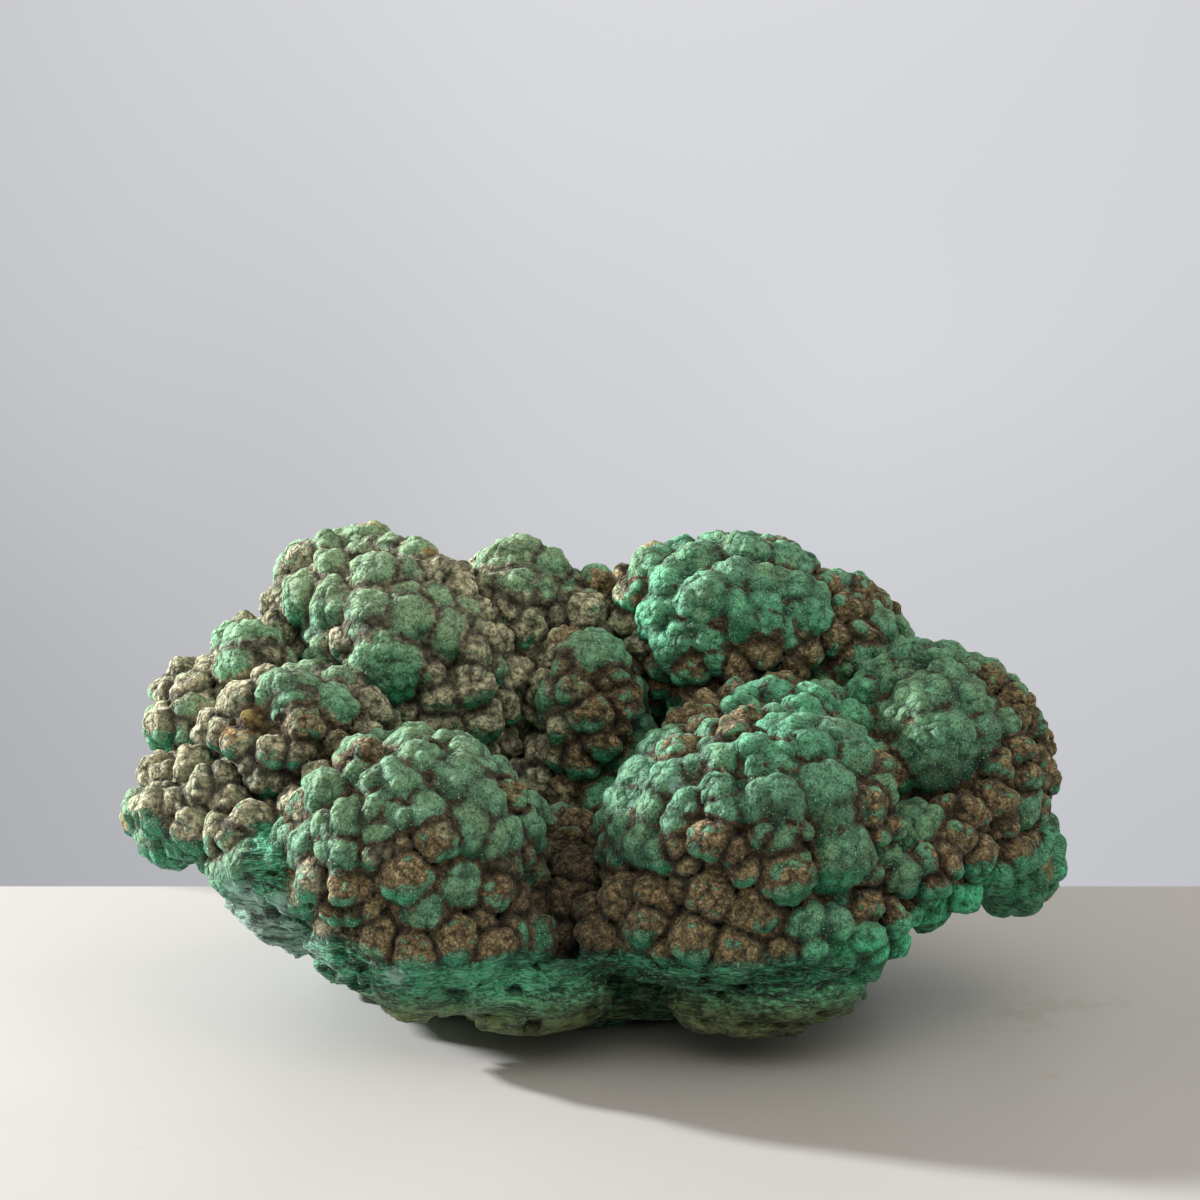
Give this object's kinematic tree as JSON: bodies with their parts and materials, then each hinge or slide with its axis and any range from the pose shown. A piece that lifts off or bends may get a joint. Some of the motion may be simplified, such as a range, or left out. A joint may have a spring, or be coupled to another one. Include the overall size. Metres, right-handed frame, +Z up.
{
  "type": "malachite specimen",
  "caption": "Natural botryoidal malachite block: rounded lobes and small heads heaped into one mass that rests on a flat patch underneath.",
  "frame": {"origin": "on the resting plane, under the centre of the block's length and depth", "axes": "+X along the block's length, +Y away from the show side, +Z up"},
  "size_m": [0.3672, 0.2236, 0.175],
  "materials": {
    "malachite": "velvety dull green with rough brown-grey crust"
  },
  "bodies": {
    "root": {"malachite_specimen": "malachite"}
  },
  "joints": []
}
